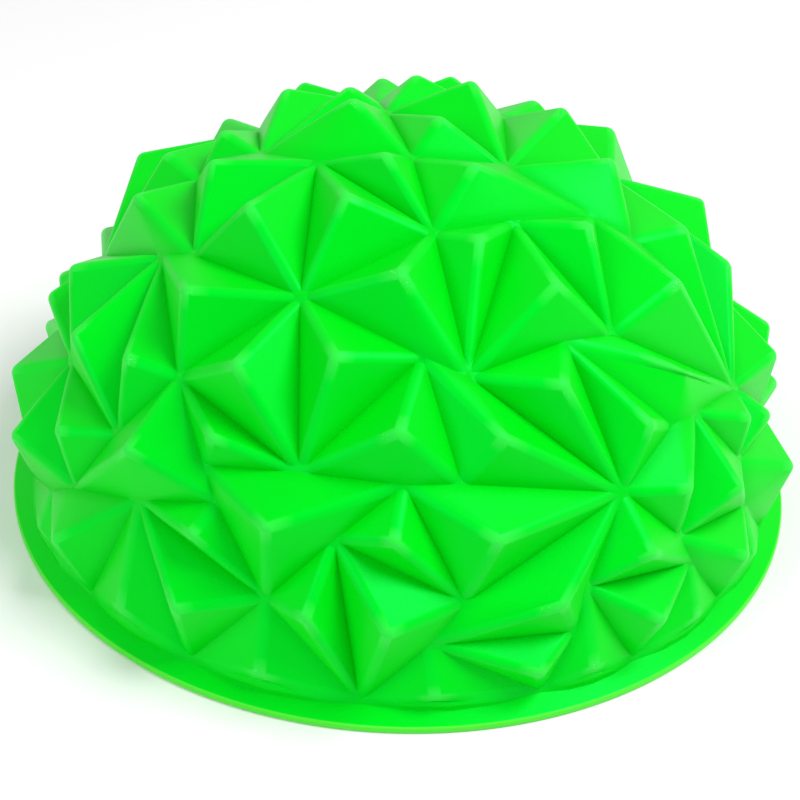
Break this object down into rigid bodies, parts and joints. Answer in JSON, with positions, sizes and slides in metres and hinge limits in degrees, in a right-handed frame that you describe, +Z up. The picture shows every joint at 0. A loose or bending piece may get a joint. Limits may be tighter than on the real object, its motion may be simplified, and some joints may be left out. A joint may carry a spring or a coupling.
{
  "type": "balance pod",
  "caption": "Air-filled half-dome balance pod in soft PVC with a sharp faceted tread, a flat base and a plugged inflation valve.",
  "frame": {"origin": "centre of the underside, on the floor", "axes": "+Z up through the crown of the dome, -Y towards the front"},
  "size_m": [0.1568, 0.157, 0.0803],
  "materials": {
    "green_pvc": "satin",
    "valve_rubber": "matte"
  },
  "bodies": {
    "pod": {"dome_shell": "green_pvc", "base_panel": "green_pvc", "valve_seat": "green_pvc", "check_valve": "valve_rubber"},
    "plug": {"valve_plug": "valve_rubber"}
  },
  "joints": [
    {"name": "plug_pull", "type": "slide", "parent": "pod", "child": "plug", "axis": [0, 0, -1], "range_m": [0, 0.012]}
  ]
}
